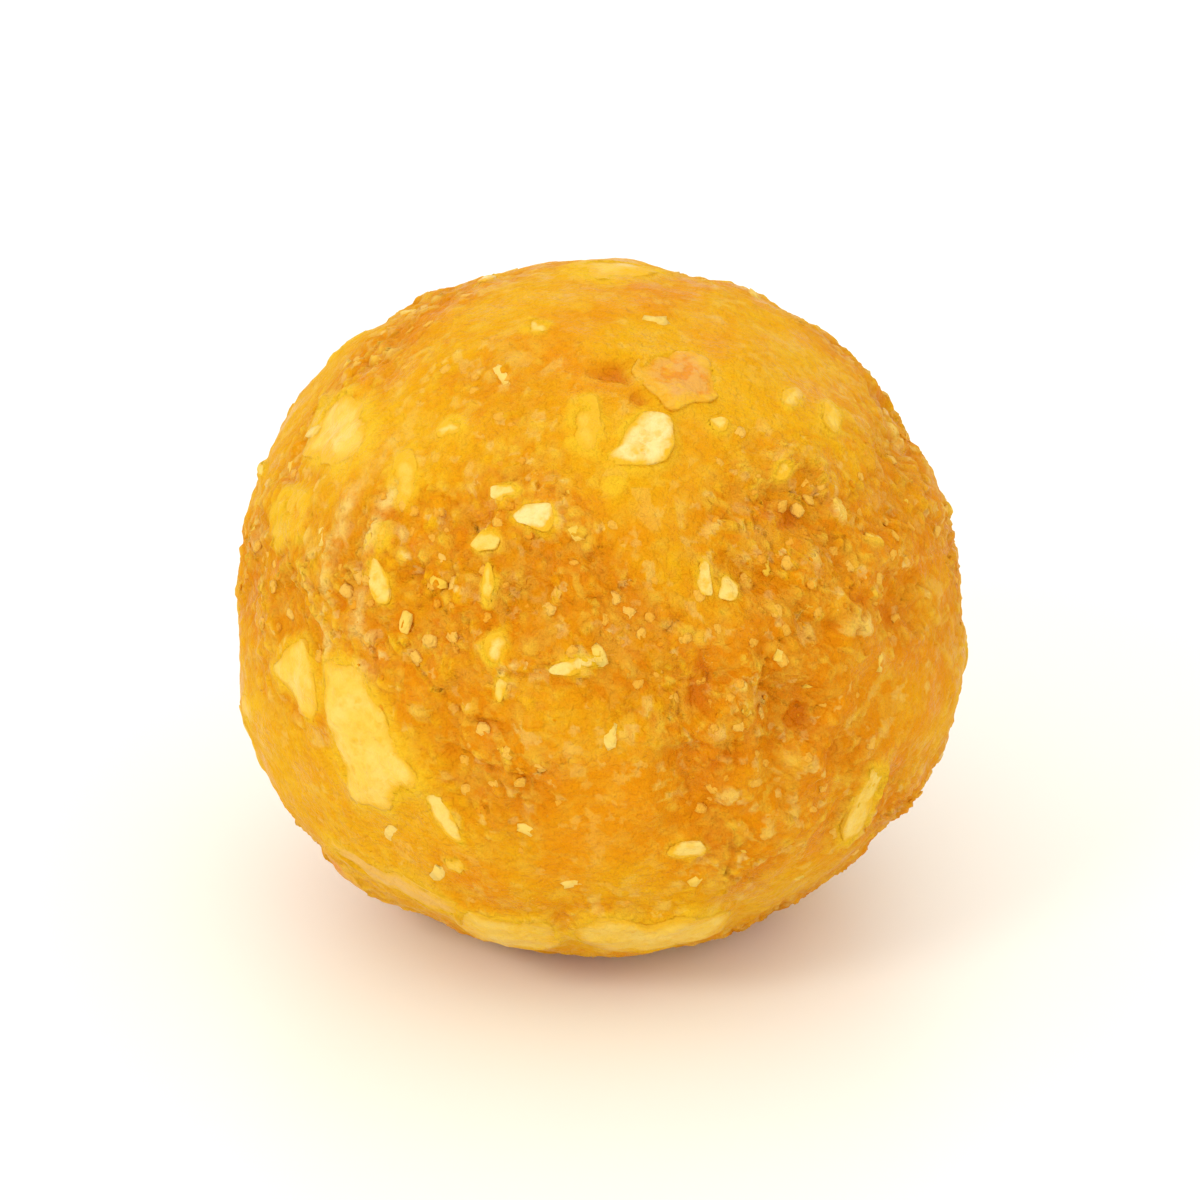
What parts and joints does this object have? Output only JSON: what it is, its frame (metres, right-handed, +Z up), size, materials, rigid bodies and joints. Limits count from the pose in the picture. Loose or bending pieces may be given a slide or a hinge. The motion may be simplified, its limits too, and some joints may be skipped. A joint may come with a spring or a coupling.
{
  "type": "mawa ladoo",
  "caption": "Hand-rolled ball of roasted mawa with chopped nuts bedded in its grainy skin, resting on a small flat spot.",
  "frame": {"origin": "middle of the flat spot that the ladoo rests on", "axes": "+Z up, out of the flat spot through the ball; the side shown first, with the large nut chip on its left, faces -Y; +X is to the right of that side"},
  "size_m": [0.0409, 0.0408, 0.0366],
  "materials": {
    "roasted_mawa": "grainy golden-orange ghee-bound mawa, soft and lightly greasy",
    "chopped_nut": "pale yellow to cream chopped nut, waxy"
  },
  "bodies": {
    "root": {"ladoo": "roasted_mawa"}
  },
  "joints": []
}
